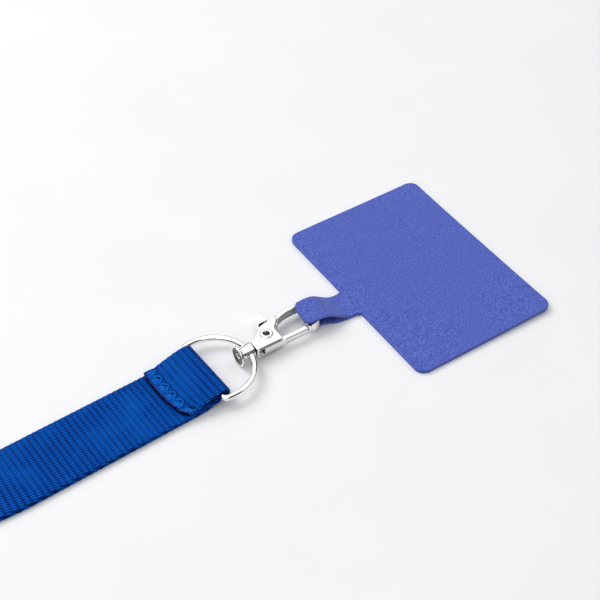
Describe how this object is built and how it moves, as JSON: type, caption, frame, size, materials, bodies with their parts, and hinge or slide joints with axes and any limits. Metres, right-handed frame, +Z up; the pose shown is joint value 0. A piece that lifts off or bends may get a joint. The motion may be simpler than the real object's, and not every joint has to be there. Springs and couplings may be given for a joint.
{
  "type": "neck lanyard with swivel hook and phone tether patch",
  "caption": "Flat woven neck lanyard with a sewn D-ring end, a swivel trigger hook and a soft phone tether patch.",
  "frame": {"origin": "centre of the bounding box's underside, which is the floor the lanyard lies on", "axes": "+X from the folded strap through the ring and hook to the patch, +Y to the left, +Z up from the floor"},
  "size_m": [0.2648, 0.0666, 0.0099],
  "materials": {
    "webbing": "ribbed polyester webbing with a soft sheen",
    "thread": "twisted polyester sewing thread",
    "tie": "matt black hook and loop tape",
    "plated": "bright nickel plating over a zinc casting",
    "spring_steel": "drawn spring wire",
    "microfibre": "matt coated microfibre",
    "bond": "clear bonding film"
  },
  "bodies": {
    "strap": {"neck_strap": "webbing", "seam_stitches": "thread", "strap_tie": "tie"},
    "ring": {"d_ring": "plated"},
    "hook": {"swivel_rivet": "plated", "hook_body": "plated", "pivot_rivet": "plated", "gate_spring": "spring_steel", "tether_loop": "microfibre"},
    "gate": {"gate_lever": "plated"},
    "tether": {"patch_front": "microfibre", "patch_bond": "bond", "patch_back": "microfibre"}
  },
  "joints": [
    {"name": "ring_swing", "type": "hinge", "parent": "strap", "child": "ring", "pos_m": [0.03536, -0.002, 0.0032], "axis": [0, 1, 0], "range_deg": [-120, 120]},
    {"name": "swivel_turn", "type": "hinge", "parent": "ring", "child": "hook", "pos_m": [0.04856, -0.002, 0.0032], "axis": [1, 0, 0], "continuous": true},
    {"name": "gate_open", "type": "hinge", "parent": "hook", "child": "gate", "pos_m": [0.05646, -0.0003, 0.0029], "axis": [0, 0, 1], "range_deg": [0, 25], "stiffness_Nm_per_rad": 0.03, "springref_deg": -28.65, "deforming": ["gate_spring"]},
    {"name": "tether_flex", "type": "hinge", "parent": "hook", "child": "tether", "pos_m": [0.08256, 0, 0.0006], "axis": [0, 1, 0], "range_deg": [-75, 75]}
  ]
}
